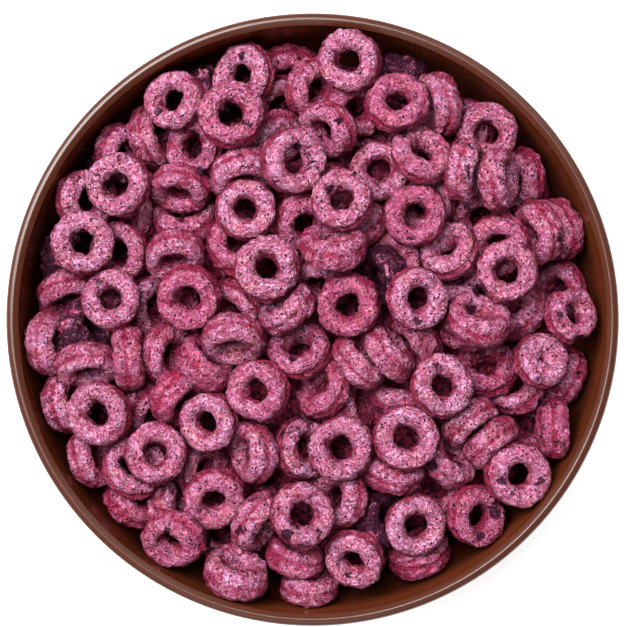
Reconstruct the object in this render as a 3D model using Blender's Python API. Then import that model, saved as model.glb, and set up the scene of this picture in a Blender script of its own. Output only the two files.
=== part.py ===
"""A glazed bowl heaped with puffed cereal rings, in metres, +Z up.

The origin is the middle of the foot's resting face. The bowl is one turned piece. The cereal is one
heap: a core that fills the bowl, with the rings that show fused on where the photograph has them.
"""

import math

import bmesh
import bpy
import numpy as np

# The bowl: its width and height, its rounded lip, its hollow, and the foot ring that it stands on.
BOWL_RADIUS = 0.075
BOWL_HEIGHT = 0.058
LIP_WIDTH = 0.0031
HOLLOW_DEPTH = 0.0494
HOLLOW_FULLNESS = 2.3
OUTSIDE_DEPTH = 0.0608
FOOT_RADIUS = 0.0375
FOOT_WIDTH = 0.0050
FOOT_HEIGHT = 0.0045
FOOT_EDGE = 0.0008
RECESS_HEIGHT = 0.0026
TURN_STEPS = 48
LIP_STEPS = 6
HOLLOW_STEPS = 9
OUTSIDE_STEPS = 7
HOLLOW_RADIUS = BOWL_RADIUS - LIP_WIDTH
LIP_LEVEL = BOWL_HEIGHT - LIP_WIDTH / 2

# One cereal ring: the radius of its section's middle, and the section's half width and half height.
RING_RADIUS = 0.0053
RING_HALF_WIDTH = 0.0025
RING_HALF_HEIGHT = 0.0035
RING_SECTION = ((1.0, 0.5), (0.05, 1.0), (-1.0, 0.0), (0.05, -1.0), (1.0, -0.5))
RING_STEPS = 8
RING_SIZE_SPREAD = 0.05

# The heap: a shallow dome of rings, a loose layer below them, and the core under those that show.
DOME_CROWN = 0.0005
DOME_FALL = 0.0080
DOME_RADIUS = 0.062
LAYER_DROPS = (0.0, 0.0046, 0.0088)
LEAN_DROP = 0.7
LOWER_DROP = 0.0160
LOWER_SPACING = 0.0155
FLOOR_DROP = 0.0240
CORE_UNDER_RING = 0.0012
CORE_CREST = 0.0040
CORE_SLOPE = 0.9
CORE_DROP = 0.0100
CORE_TURN_STEPS = 32
CORE_ROWS = 9
CLEARANCE = 0.00045
SEED = 11

# The photograph looks straight down: the bowl's middle and radius in its pixels, and its distance.
BOWL_MIDDLE_X_PX = 312.5
BOWL_MIDDLE_Y_PX = 319.5
BOWL_RADIUS_PX = 306.5
PHOTO_DISTANCE = 0.45

# Each ring that shows, by eye: x and y of its middle in the photograph's pixels, its tilt in degrees,
# the way that its upper face leans (0 to the right, 90 to the top), and how many rings lie over it.
SEEN_RINGS = (
    # Top left.
    (176, 103, 12, 180, 0), (125, 187, 12, 135, 0), (195, 155, 14, 180, 1), (84, 195, 32, 0, 1),
    (183, 187, 48, 270, 0), (187, 220, 58, 90, 1), (114, 148, 48, 340, 1), (146, 138, 65, 30, 1),
    (100, 168, 35, 20, 2), (210, 84, 60, 20, 1), (244, 77, 25, 190, 1), (236, 117, 25, 80, 0),
    (275, 141, 52, 315, 1), (240, 174, 62, 285, 0), (248, 210, 6, 90, 0), (240, 148, 50, 0, 2),
    # Top.
    (293, 64, 32, 270, 1), (350, 67, 10, 250, 0), (312, 92, 22, 0, 1), (327, 131, 50, 215, 0),
    (294, 165, 25, 350, 0), (326, 188, 30, 270, 1), (340, 205, 8, 180, 0), (378, 181, 15, 200, 1),
    (303, 224, 20, 0, 1), (275, 106, 55, 300, 2), (352, 113, 30, 280, 1), (373, 147, 45, 200, 2),
    # Top right.
    (397, 114, 12, 90, 0), (405, 75, 45, 270, 1), (438, 110, 68, 195, 0), (488, 133, 10, 180, 0),
    (419, 158, 35, 90, 0), (458, 171, 78, 0, 0), (493, 181, 70, 0, 0), (514, 183, 45, 180, 1),
    (533, 182, 50, 180, 2), (413, 213, 12, 120, 0), (432, 208, 20, 180, 1), (482, 217, 20, 280, 1),
    (535, 229, 65, 200, 0), (561, 231, 30, 200, 1), (436, 132, 50, 0, 2), (466, 120, 40, 180, 2),
    # Left.
    (87, 244, 8, 150, 0), (56, 265, 35, 0, 1), (60, 297, 45, 300, 1), (49, 340, 42, 0, 0),
    (88, 330, 50, 40, 1), (114, 299, 15, 110, 0), (93, 364, 50, 270, 0), (128, 355, 76, 180, 0),
    (164, 353, 50, 0, 0), (206, 362, 55, 50, 0), (126, 256, 25, 180, 1), (179, 256, 45, 270, 0),
    (192, 298, 10, 200, 0), (64, 397, 55, 0, 0), (102, 409, 20, 180, 0), (147, 404, 60, 330, 1),
    (176, 395, 52, 320, 0), (209, 417, 25, 190, 0), (153, 303, 45, 0, 2), (128, 215, 30, 90, 2),
    # Middle.
    (266, 269, 8, 110, 0), (347, 307, 14, 190, 0), (414, 295, 12, 60, 0), (331, 247, 66, 100, 0),
    (327, 276, 45, 270, 1), (366, 226, 55, 150, 1), (373, 270, 48, 220, 1), (288, 311, 75, 130, 0),
    (300, 352, 30, 90, 0), (237, 340, 50, 270, 0), (240, 303, 50, 220, 1), (259, 388, 10, 190, 0),
    (360, 364, 72, 50, 0), (389, 350, 74, 45, 0), (328, 391, 68, 145, 0), (232, 248, 35, 60, 1),
    (393, 262, 45, 200, 2), (418, 338, 55, 250, 1), (385, 394, 60, 90, 2), (356, 396, 50, 0, 2),
    # Right.
    (504, 272, 12, 60, 0), (444, 246, 45, 130, 0), (495, 250, 25, 180, 1), (557, 280, 25, 180, 1),
    (573, 319, 20, 0, 0), (454, 283, 45, 90, 1), (474, 319, 60, 70, 0), (462, 332, 60, 70, 1),
    (521, 314, 60, 140, 1), (538, 355, 15, 60, 0), (488, 369, 25, 95, 0), (433, 387, 10, 30, 0),
    (570, 376, 55, 130, 1), (514, 390, 40, 120, 1), (554, 428, 84, 200, 0), (523, 425, 30, 60, 1),
    # Bottom left.
    (160, 450, 8, 100, 0), (92, 465, 52, 20, 0), (138, 472, 25, 60, 1), (133, 503, 45, 80, 1),
    (173, 539, 30, 225, 0), (215, 498, 15, 270, 0), (172, 500, 60, 0, 2), (197, 468, 40, 0, 2),
    (222, 530, 30, 90, 2),
    # Bottom.
    (253, 454, 55, 180, 0), (300, 448, 42, 10, 0), (343, 444, 5, 90, 0), (405, 432, 12, 110, 0),
    (396, 470, 56, 80, 0), (300, 512, 12, 60, 0), (342, 497, 38, 170, 1), (258, 527, 62, 325, 0),
    (236, 568, 25, 80, 0), (293, 559, 68, 70, 0), (312, 590, 84, 90, 0), (353, 555, 30, 225, 0),
    (366, 566, 20, 300, 1), (374, 522, 50, 0, 1), (415, 521, 12, 300, 0), (420, 561, 38, 80, 1),
    # Bottom right.
    (472, 424, 60, 310, 0), (491, 442, 68, 310, 0), (519, 471, 10, 20, 0), (450, 468, 50, 40, 0),
    (475, 515, 25, 10, 0), (435, 488, 40, 90, 2),
)  # fmt: skip

# Settling: each ring is felt through two circles of balls, and every round eases off what overlaps.
BALLS_ROUND = 12
BALL_SPARE = 0.00015
BALL_RADIUS = RING_HALF_WIDTH + BALL_SPARE
BALL_RAISE = RING_HALF_HEIGHT - RING_HALF_WIDTH
REACH = 2.1 * (RING_RADIUS + BALL_RADIUS + BALL_RAISE)
SETTLE_ROUNDS = 200
SINK = 0.00004
PLACE_PULL = 0.12
LEVEL_PULL = 0.05
TILT_PULL = 0.10
LOWER_HOLD = 0.15
PUSH_SHARE = (0.6, 0.6, 1.3)
TURN_SHARE = 0.3


def dome_level(radius):
    """Height of the upper rings' middles at a distance from the bowl's axis."""
    return BOWL_HEIGHT + DOME_CROWN - DOME_FALL * (radius / DOME_RADIUS) ** 2


def facing(tilt, toward):
    """Unit normals leaning by tilt from straight up, toward an angle in plan, both in degrees."""
    tilt, toward = np.radians(tilt), np.radians(toward)
    return np.stack([np.sin(tilt) * np.cos(toward), np.sin(tilt) * np.sin(toward), np.cos(tilt)], axis=-1)


def seen_rings():
    """Middles and normals of the rings in the photograph, laid on the dome.

    A ring on its edge reaches higher over its middle than a flat one, so its middle lies lower.
    """
    x_px, y_px, tilt, toward, over = np.array(SEEN_RINGS, float).T
    plan = np.stack([x_px - BOWL_MIDDLE_X_PX, BOWL_MIDDLE_Y_PX - y_px], axis=1)
    plan *= BOWL_RADIUS / BOWL_RADIUS_PX
    level = dome_level(np.linalg.norm(plan, axis=1)) - np.array(LAYER_DROPS)[over.astype(int)]
    reach = (RING_RADIUS + RING_HALF_WIDTH) * np.sin(np.radians(tilt))
    level -= LEAN_DROP * (reach - RING_HALF_HEIGHT * (1 - np.cos(np.radians(tilt))))
    plan *= (1 + (BOWL_HEIGHT - level) / PHOTO_DISTANCE)[:, None]
    return np.column_stack([plan, level]), facing(tilt, toward)


def lower_rings(draws):
    """Middles and normals of the layer below: a loose six-sided scatter, tilted at random."""
    rows = int(DOME_RADIUS / LOWER_SPACING) + 1
    row, column = np.mgrid[-rows : rows + 1, -rows : rows + 1].reshape(2, -1)
    plan = np.stack([column + 0.5 * (row % 2), row * math.sin(math.radians(60))], axis=1) * LOWER_SPACING
    plan += draws.uniform(-0.2, 0.2, plan.shape) * LOWER_SPACING
    plan = plan[np.linalg.norm(plan, axis=1) < DOME_RADIUS - RING_HALF_WIDTH]
    level = dome_level(np.linalg.norm(plan, axis=1)) - LOWER_DROP
    normals = facing(draws.uniform(0, 60, len(plan)), draws.uniform(0, 360, len(plan)))
    return np.column_stack([plan, level]), normals


def balls_of(middles, normals, sizes):
    """Middles of the balls that fill each ring: a circle of them above its middle plane, one below."""
    aside = np.where(np.abs(normals[:, :1]) > 0.9, [[0.0, 1.0, 0.0]], [[1.0, 0.0, 0.0]])
    across = np.cross(normals, aside)
    across /= np.linalg.norm(across, axis=1, keepdims=True)
    along = np.cross(normals, across)
    turn = (np.arange(BALLS_ROUND) * math.tau / BALLS_ROUND)[None, :, None]
    circle = np.cos(turn) * across[:, None] + np.sin(turn) * along[:, None]
    circle *= (RING_RADIUS * sizes)[:, None, None]
    lift = (BALL_RAISE * sizes[:, None] * normals)[:, None]
    return middles[:, None] + np.concatenate([circle + lift, circle - lift], axis=1)


class Nudges:
    """The shifts and turns that one round gives to the rings."""

    def __init__(self, count):
        self.shifts = np.zeros((count, 3))
        self.turns = np.zeros((count, 3))
        self.touches = np.zeros(count)

    def add(self, rings, pushes, arms):
        """Most of each push shifts its ring, and the rest turns it by the push's moment."""
        np.add.at(self.shifts, rings, (1 - TURN_SHARE) * pushes * PUSH_SHARE)
        np.add.at(self.turns, rings, TURN_SHARE * np.cross(arms, pushes) / RING_RADIUS**2)
        np.add.at(self.touches, rings, 1)

    def share(self):
        """Shifts and turns, lessened for a ring with many touches so that they don't add up too far."""
        part = (1.6 / np.maximum(self.touches, 1.6))[:, None]
        return self.shifts * part, self.turns * part


def push_apart(middles, balls, sizes, nudges):
    """Pushes each pair of overlapping rings apart, along the mean way between their touching balls."""
    gap = np.linalg.norm(middles[:, None] - middles[None], axis=2)
    first, second = np.nonzero(np.triu(gap < REACH, k=1))
    apart = balls[first][:, :, None] - balls[second][:, None]
    distance = np.maximum(np.sqrt((apart**2).sum(axis=3)), 1e-6)
    overlap = np.maximum(BALL_RADIUS * (sizes[first] + sizes[second])[:, None, None] - distance, 0)
    touching = np.nonzero(overlap.max(axis=(1, 2)) > 0)[0]
    first, second, apart = first[touching], second[touching], apart[touching]
    distance, overlap = distance[touching], overlap[touching]
    weight = overlap / overlap.sum(axis=(1, 2), keepdims=True)
    way = (apart * (weight / distance)[..., None]).sum(axis=(1, 2))
    push = way * overlap.max(axis=(1, 2))[:, None]
    arm_first = (balls[first] * weight.sum(axis=2)[..., None]).sum(axis=1) - middles[first]
    arm_second = (balls[second] * weight.sum(axis=1)[..., None]).sum(axis=1) - middles[second]
    nudges.add(first, push / 2, arm_first)
    nudges.add(second, -push / 2, arm_second)


def push_inside(middles, balls, sizes, nudges):
    """Pushes rings in from the bowl's wall, and up from the floor of packed cereal below them."""
    radius = np.linalg.norm(balls[..., :2], axis=2)
    room = BALL_RADIUS * sizes[:, None] + CLEARANCE
    depth = np.maximum(LIP_LEVEL - balls[..., 2], 0)
    share = (radius / (HOLLOW_RADIUS - room)) ** HOLLOW_FULLNESS
    share = (share + (depth / (HOLLOW_DEPTH - room)) ** HOLLOW_FULLNESS) ** (1 / HOLLOW_FULLNESS)
    out = balls - [0, 0, LIP_LEVEL]
    out[..., 2] = np.minimum(out[..., 2], 0)
    push = -out * np.maximum(1 - 1 / np.maximum(share, 1e-6), 0)[..., None]
    push[..., 2] += np.maximum(dome_level(radius) - FLOOR_DROP + room - balls[..., 2], 0)
    ring = np.arange(len(middles))
    worst = np.argmax(np.linalg.norm(push, axis=2), axis=1)
    push, arm = push[ring, worst], balls[ring, worst] - middles
    hit = np.linalg.norm(push, axis=1) > 0
    nudges.add(ring[hit], 2 * push[hit], arm[hit])


def settled_rings():
    """Middles, normals and sizes of all rings once they rest on each other, and how many show.

    Each round lets the rings sink a little, draws those that show back to their places in the
    photograph, and pushes apart what overlaps. The numbers are rounded, so that small differences
    in arithmetic don't grow from round to round.
    """
    draws = np.random.RandomState(SEED)
    places, fronts = seen_rings()
    lower_places, lower_fronts = lower_rings(draws)
    count = len(places)
    places, fronts = np.concatenate([places, lower_places]), np.concatenate([fronts, lower_fronts])
    sizes = 1 + draws.uniform(-1, 1, len(places)) * RING_SIZE_SPREAD
    hold = np.where(np.arange(len(places)) < count, 1, LOWER_HOLD)[:, None]
    middles, normals = places.copy(), fronts.copy()
    for number in range(SETTLE_ROUNDS):
        ease = 1 - number / SETTLE_ROUNDS
        pull = ease * hold * (places - middles) * [PLACE_PULL, PLACE_PULL, LEVEL_PULL]
        middles += pull - [0, 0, SINK * ease]
        normals += TILT_PULL * ease * hold * (fronts - normals)
        balls = balls_of(middles, normals / np.linalg.norm(normals, axis=1, keepdims=True), sizes)
        nudges = Nudges(len(middles))
        push_apart(middles, balls, sizes, nudges)
        push_inside(middles, balls, sizes, nudges)
        shifts, turns = nudges.share()
        middles = np.round(middles + shifts, 7)
        normals = normals + np.cross(turns, normals)
        normals = np.round(normals / np.linalg.norm(normals, axis=1, keepdims=True), 6)
    return middles, normals, sizes, count


def hollow_outline(inset=0.0):
    """Radius and height down the bowl's hollow, from its rim to the middle of its floor."""
    turn = np.linspace(0, math.pi / 2, HOLLOW_STEPS + 1)
    radius = (HOLLOW_RADIUS - inset) * np.cos(turn) ** (2 / HOLLOW_FULLNESS)
    depth = (HOLLOW_DEPTH - inset) * np.sin(turn) ** (2 / HOLLOW_FULLNESS)
    radius[-1] = 0
    return list(zip(radius, LIP_LEVEL - depth))


def bowl_outline():
    """Radius and height of the bowl's section: hollow, lip, outside, foot ring, and the recess's middle."""
    lip = LIP_WIDTH / 2
    points = hollow_outline()[::-1]
    for step in range(1, LIP_STEPS + 1):
        turn = math.pi * (1 - step / LIP_STEPS)
        points.append((BOWL_RADIUS - lip + lip * math.cos(turn), LIP_LEVEL + lip * math.sin(turn)))
    foot_turn = math.asin((LIP_LEVEL - FOOT_HEIGHT) / OUTSIDE_DEPTH)
    for step in range(1, OUTSIDE_STEPS + 1):
        turn = foot_turn * step / OUTSIDE_STEPS
        points.append((BOWL_RADIUS * math.cos(turn), LIP_LEVEL - OUTSIDE_DEPTH * math.sin(turn)))
    inner = FOOT_RADIUS - FOOT_WIDTH
    points += [
        (FOOT_RADIUS, FOOT_EDGE),
        (FOOT_RADIUS - FOOT_EDGE, 0),
        (inner + FOOT_EDGE, 0),
        (inner, RECESS_HEIGHT),
        (0, RECESS_HEIGHT),
    ]
    return points


def material(name, colour, roughness):
    """A plain Principled material."""
    made = bpy.data.materials.new(name)
    made.use_nodes = True
    shader = made.node_tree.nodes["Principled BSDF"]
    shader.inputs["Base Color"].default_value = (*colour, 1)
    shader.inputs["Roughness"].default_value = roughness
    return made


def object_of(name, shape, look):
    """Puts a bmesh into a named object of the scene, smooth where its faces meet gently."""
    bmesh.ops.recalc_face_normals(shape, faces=shape.faces)
    mesh = bpy.data.meshes.new(name)
    shape.to_mesh(mesh)
    shape.free()
    mesh.materials.append(look)
    mesh.shade_smooth()
    mesh.set_sharp_from_angle(angle=math.radians(50))
    made = bpy.data.objects.new(name, mesh)
    bpy.context.scene.collection.objects.link(made)
    return made


def make_bowl():
    """The bowl: its section turned once round the axis."""
    shape = bmesh.new()
    corners = [shape.verts.new((radius, 0, height)) for radius, height in bowl_outline()]
    edges = [shape.edges.new(pair) for pair in zip(corners, corners[1:])]
    bmesh.ops.spin(
        shape,
        geom=corners + edges,
        cent=(0, 0, 0),
        axis=(0, 0, 1),
        angle=math.tau,
        steps=TURN_STEPS,
        use_merge=True,
    )
    bmesh.ops.remove_doubles(shape, verts=shape.verts, dist=1e-6)
    return object_of("bowl", shape, material("bowl_glaze", (0.16, 0.05, 0.025), 0.2))


def core_level(plan, middles):
    """Height of the core at points in plan: it rises under each ring that shows."""
    away = np.linalg.norm(plan[:, None] - middles[None, :, :2], axis=2)
    under = middles[:, 2] - CORE_UNDER_RING - CORE_SLOPE * np.maximum(away - CORE_CREST, 0)
    return np.maximum(under.max(axis=1), dome_level(np.linalg.norm(plan, axis=1)) - CORE_DROP)


def make_core(middles, look):
    """The core: the bowl's hollow filled to a lumpy level, as rows of points round the axis."""
    wall = hollow_outline(CLEARANCE)[1:]
    turn = np.arange(CORE_TURN_STEPS) * math.tau / CORE_TURN_STEPS
    circle = np.stack([np.cos(turn), np.sin(turn)], axis=1)
    rows = []
    for step in range(1, CORE_ROWS):
        plan = circle * wall[0][0] * step / CORE_ROWS
        rows.append(np.column_stack([plan, core_level(plan, middles)]))
    for radius, height in wall[:-1]:
        rows.append(np.column_stack([circle * radius, np.full(CORE_TURN_STEPS, height)]))
    shape = bmesh.new()
    top = shape.verts.new((0, 0, core_level(np.zeros((1, 2)), middles)[0]))
    bottom = shape.verts.new((0, 0, wall[-1][1]))
    rows = [[shape.verts.new(point) for point in row] for row in rows]
    for place in range(CORE_TURN_STEPS):
        after = (place + 1) % CORE_TURN_STEPS
        shape.faces.new((top, rows[0][place], rows[0][after]))
        shape.faces.new((bottom, rows[-1][after], rows[-1][place]))
        for upper, lower in zip(rows, rows[1:]):
            shape.faces.new((upper[place], lower[place], lower[after]))
            shape.faces.new((upper[place], lower[after], upper[after]))
    return object_of("cereal_heap", shape, look)


def make_ring(number, middle, normal, size, look):
    """One cereal ring with a five-sided section, taller than it is wide."""
    aside = np.array([0.0, 1.0, 0.0]) if abs(normal[0]) > 0.9 else np.array([1.0, 0.0, 0.0])
    across = np.cross(normal, aside)
    across /= np.linalg.norm(across)
    along = np.cross(normal, across)
    shape = bmesh.new()
    loops = []
    for step in range(RING_STEPS):
        turn = math.tau * (step + number / RING_STEPS) / RING_STEPS
        out = math.cos(turn) * across + math.sin(turn) * along
        loop = []
        for outward, upward in RING_SECTION:
            radius = RING_RADIUS + RING_HALF_WIDTH * outward
            point = middle + size * (out * radius + normal * RING_HALF_HEIGHT * upward)
            loop.append(shape.verts.new(point))
        loops.append(loop)
    for loop, beyond in zip(loops, loops[1:] + loops[:1]):
        for place in range(len(RING_SECTION)):
            after = (place + 1) % len(RING_SECTION)
            shape.faces.new((loop[place], beyond[place], beyond[after], loop[after]))
    return object_of(f"ring_{number}", shape, look)


def keep_largest_shell(mesh):
    """Leaves only the mesh's largest connected shell, so hollows are filled and scraps dropped."""
    shape = bmesh.new()
    shape.from_mesh(mesh)
    left, shells = set(shape.verts), []
    while left:
        waiting, shell = [next(iter(left))], set()
        while waiting:
            corner = waiting.pop()
            if corner in shell:
                continue
            shell.add(corner)
            waiting.extend(edge.other_vert(corner) for edge in corner.link_edges)
        left -= shell
        shells.append(shell)
    shells.sort(key=len)
    loose = [corner for shell in shells[:-1] for corner in shell]
    bmesh.ops.delete(shape, geom=loose, context="VERTS")
    shape.to_mesh(mesh)
    shape.free()


def make_heap():
    """The heap: the core with the rings that show fused on by one Boolean union."""
    look = material("cereal", (0.5, 0.12, 0.24), 0.7)
    middles, normals, sizes, count = settled_rings()
    heap = make_core(middles[:count], look)
    rings = bpy.data.collections.new("rings")
    bpy.context.scene.collection.children.link(rings)
    for number in range(count):
        ring = make_ring(number, middles[number], normals[number], sizes[number], look)
        bpy.context.scene.collection.objects.unlink(ring)
        rings.objects.link(ring)
    union = heap.modifiers.new("union", "BOOLEAN")
    union.operation = "UNION"
    union.operand_type = "COLLECTION"
    union.collection = rings
    union.solver = "EXACT"
    fused = bpy.data.meshes.new_from_object(heap.evaluated_get(bpy.context.evaluated_depsgraph_get()))
    heap.modifiers.remove(union)
    for ring in list(rings.objects):
        bpy.data.objects.remove(ring)
    bpy.data.collections.remove(rings)
    keep_largest_shell(fused)
    fused.shade_smooth()
    fused.set_sharp_from_angle(angle=math.radians(50))
    heap.data = fused
    return heap


def main():
    """Clears the scene and makes the bowl and the heap."""
    for old in list(bpy.data.objects):
        bpy.data.objects.remove(old)
    make_bowl()
    make_heap()


if __name__ == "__main__":
    main()
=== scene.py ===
"""A glazed bowl heaped with puffed cereal rings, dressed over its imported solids."""

import logging
import math
from dataclasses import dataclass
from enum import Enum

import bpy
import numpy as np
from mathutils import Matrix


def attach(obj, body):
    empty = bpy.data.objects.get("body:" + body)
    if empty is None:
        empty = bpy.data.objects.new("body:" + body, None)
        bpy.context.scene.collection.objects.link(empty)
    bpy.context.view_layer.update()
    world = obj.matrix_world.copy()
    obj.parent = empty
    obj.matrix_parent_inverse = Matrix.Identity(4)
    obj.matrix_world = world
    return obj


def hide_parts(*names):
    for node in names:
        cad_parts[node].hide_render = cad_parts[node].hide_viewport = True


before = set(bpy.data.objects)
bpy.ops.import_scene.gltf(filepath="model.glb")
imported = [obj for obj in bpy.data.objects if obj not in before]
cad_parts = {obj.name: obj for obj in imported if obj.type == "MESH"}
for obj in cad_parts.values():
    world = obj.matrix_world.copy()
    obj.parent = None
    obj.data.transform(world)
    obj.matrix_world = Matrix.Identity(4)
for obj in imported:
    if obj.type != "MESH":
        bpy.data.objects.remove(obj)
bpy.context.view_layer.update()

MM = 0.001
ROOT = "root"
TINY = 1e-6
LOG = logging.getLogger("cereal_bowl")

Socket = bpy.types.NodeSocket
Colour = tuple[float, float, float]


class RingKind(Enum):
    """The kinds of cereal ring, each made as one piece."""

    ROSE = "rose"
    BLUSH = "blush"
    MAUVE = "mauve"
    CRIMSON = "crimson"
    PLUM = "plum"
    BLIND = "blind"
    LOWER = "lower"


@dataclass(frozen=True)
class Photograph:
    """The photograph's frame: it looks straight down, with the bowl's circle in pixels."""

    width_px: float = 627.0
    middle_x_px: float = 312.5
    middle_y_px: float = 319.5
    radius_px: float = 306.5
    distance: float = 0.45

    def plan(self, x_px: np.ndarray, y_px: np.ndarray, bowl_radius: float) -> np.ndarray:
        """Places in plan, at the rim's level, of pixels of the photograph.

        Args:
            x_px: Pixels from the left edge.
            y_px: Pixels from the top edge.
            bowl_radius: The bowl's radius in metres.

        Returns:
            The x and y of each place in metres.
        """
        places = np.stack([x_px - self.middle_x_px, self.middle_y_px - y_px], axis=1)
        return places * bowl_radius / self.radius_px


@dataclass(frozen=True)
class BowlForm:
    """The bowl's own sizes, as its solid has them."""

    radius: float = 75 * MM
    height: float = 58 * MM
    lip_width: float = 3.1 * MM
    hollow_depth: float = 49.4 * MM
    hollow_fullness: float = 2.3
    outside_depth: float = 60.8 * MM
    foot_radius: float = 37.5 * MM
    foot_width: float = 5.0 * MM
    foot_height: float = 4.5 * MM
    foot_edge: float = 0.8 * MM
    recess_height: float = 2.6 * MM

    @property
    def hollow_radius(self) -> float:
        """Radius of the hollow at the lip."""
        return self.radius - self.lip_width

    @property
    def lip_level(self) -> float:
        """Height of the middle of the lip's round."""
        return self.height - self.lip_width / 2


# Each ring that shows: x and y of its middle in the photograph's pixels, its tilt in degrees,
# the way that its upper face leans (0 to the right, 90 to the top), and how many rings lie over it.
SEEN_RINGS = (
    # Top left.
    (176, 103, 12, 180, 0), (125, 187, 12, 135, 0), (195, 155, 14, 180, 1), (84, 195, 32, 0, 1),
    (183, 187, 48, 270, 0), (187, 220, 58, 90, 1), (114, 148, 48, 340, 1), (146, 138, 65, 30, 1),
    (100, 168, 35, 20, 2), (210, 84, 60, 20, 1), (244, 77, 25, 190, 1), (236, 117, 25, 80, 0),
    (275, 141, 52, 315, 1), (240, 174, 62, 285, 0), (248, 210, 6, 90, 0), (240, 148, 50, 0, 2),
    # Top.
    (293, 64, 32, 270, 1), (350, 67, 10, 250, 0), (312, 92, 22, 0, 1), (327, 131, 50, 215, 0),
    (294, 165, 25, 350, 0), (326, 188, 30, 270, 1), (340, 205, 8, 180, 0), (378, 181, 15, 200, 1),
    (303, 224, 20, 0, 1), (275, 106, 55, 300, 2), (352, 113, 30, 280, 1), (373, 147, 45, 200, 2),
    # Top right.
    (397, 114, 12, 90, 0), (405, 75, 45, 270, 1), (438, 110, 68, 195, 0), (488, 133, 10, 180, 0),
    (419, 158, 35, 90, 0), (458, 171, 78, 0, 0), (493, 181, 70, 0, 0), (514, 183, 45, 180, 1),
    (533, 182, 50, 180, 2), (413, 213, 12, 120, 0), (432, 208, 20, 180, 1), (482, 217, 20, 280, 1),
    (535, 229, 65, 200, 0), (561, 231, 30, 200, 1), (436, 132, 50, 0, 2), (466, 120, 40, 180, 2),
    # Left.
    (87, 244, 8, 150, 0), (56, 265, 35, 0, 1), (60, 297, 45, 300, 1), (49, 340, 42, 0, 0),
    (88, 330, 50, 40, 1), (114, 299, 15, 110, 0), (93, 364, 50, 270, 0), (128, 355, 76, 180, 0),
    (164, 353, 50, 0, 0), (206, 362, 55, 50, 0), (126, 256, 25, 180, 1), (179, 256, 45, 270, 0),
    (192, 298, 10, 200, 0), (64, 397, 55, 0, 0), (102, 409, 20, 180, 0), (147, 404, 60, 330, 1),
    (176, 395, 52, 320, 0), (209, 417, 25, 190, 0), (153, 303, 45, 0, 2), (128, 215, 30, 90, 2),
    # Middle.
    (266, 269, 8, 110, 0), (347, 307, 14, 190, 0), (414, 295, 12, 60, 0), (331, 247, 66, 100, 0),
    (327, 276, 45, 270, 1), (366, 226, 55, 150, 1), (373, 270, 48, 220, 1), (288, 311, 75, 130, 0),
    (300, 352, 30, 90, 0), (237, 340, 50, 270, 0), (240, 303, 50, 220, 1), (259, 388, 10, 190, 0),
    (360, 364, 72, 50, 0), (389, 350, 74, 45, 0), (328, 391, 68, 145, 0), (232, 248, 35, 60, 1),
    (393, 262, 45, 200, 2), (418, 338, 55, 250, 1), (385, 394, 60, 90, 2), (356, 396, 50, 0, 2),
    # Right.
    (504, 272, 12, 60, 0), (444, 246, 45, 130, 0), (495, 250, 25, 180, 1), (557, 280, 25, 180, 1),
    (573, 319, 20, 0, 0), (454, 283, 45, 90, 1), (474, 319, 60, 70, 0), (462, 332, 60, 70, 1),
    (521, 314, 60, 140, 1), (538, 355, 15, 60, 0), (488, 369, 25, 95, 0), (433, 387, 10, 30, 0),
    (570, 376, 55, 130, 1), (514, 390, 40, 120, 1), (554, 428, 84, 200, 0), (523, 425, 30, 60, 1),
    # Bottom left.
    (160, 450, 8, 100, 0), (92, 465, 52, 20, 0), (138, 472, 25, 60, 1), (133, 503, 45, 80, 1),
    (173, 539, 30, 225, 0), (215, 498, 15, 270, 0), (172, 500, 60, 0, 2), (197, 468, 40, 0, 2),
    (222, 530, 30, 90, 2),
    # Bottom.
    (253, 454, 55, 180, 0), (300, 448, 42, 10, 0), (343, 444, 5, 90, 0), (405, 432, 12, 110, 0),
    (396, 470, 56, 80, 0), (300, 512, 12, 60, 0), (342, 497, 38, 170, 1), (258, 527, 62, 325, 0),
    (236, 568, 25, 80, 0), (293, 559, 68, 70, 0), (312, 590, 84, 90, 0), (353, 555, 30, 225, 0),
    (366, 566, 20, 300, 1), (374, 522, 50, 0, 1), (415, 521, 12, 300, 0), (420, 561, 38, 80, 1),
    # Bottom right.
    (472, 424, 60, 310, 0), (491, 442, 68, 310, 0), (519, 471, 10, 20, 0), (450, 468, 50, 40, 0),
    (475, 515, 25, 10, 0), (435, 488, 40, 90, 2),
)  # fmt: skip

# Where the photograph shows dark plum rings, and the one ring whose hole is closed.
PLUM_PLACES_PX = ((405, 75), (56, 265), (88, 330), (374, 522), (100, 168), (210, 84), (373, 270))
BLIND_PLACES_PX = ((538, 355),)

# Two rings that the photograph shows small, and how small they are.
SMALL_PLACES_PX = ((573, 319), (538, 355))
SMALL_SIZE = 0.88

# Dark scorched patches on the rings: x, y and radius in the photograph's pixels.
SCORCHED_PLACES_PX = (
    (230, 106, 6), (248, 123, 7), (196, 133, 6), (203, 171, 7), (77, 177, 6), (107, 186, 5), (297, 147, 4),
    (182, 219, 4), (241, 56, 5), (158, 110, 6), (329, 187, 6), (338, 120, 5), (411, 237, 5), (562, 238, 6),
    (563, 287, 7), (404, 134, 6), (480, 291, 8), (472, 309, 6), (287, 534, 6), (241, 531, 6), (167, 530, 5),
    (121, 463, 6), (292, 359, 4), (437, 364, 3), (494, 511, 10), (482, 536, 6), (540, 481, 5), (503, 482, 5),
    (580, 341, 7), (560, 314, 4), (432, 467, 6), (479, 382, 3), (542, 403, 5), (417, 321, 6), (347, 574, 6),
)  # fmt: skip


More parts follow.
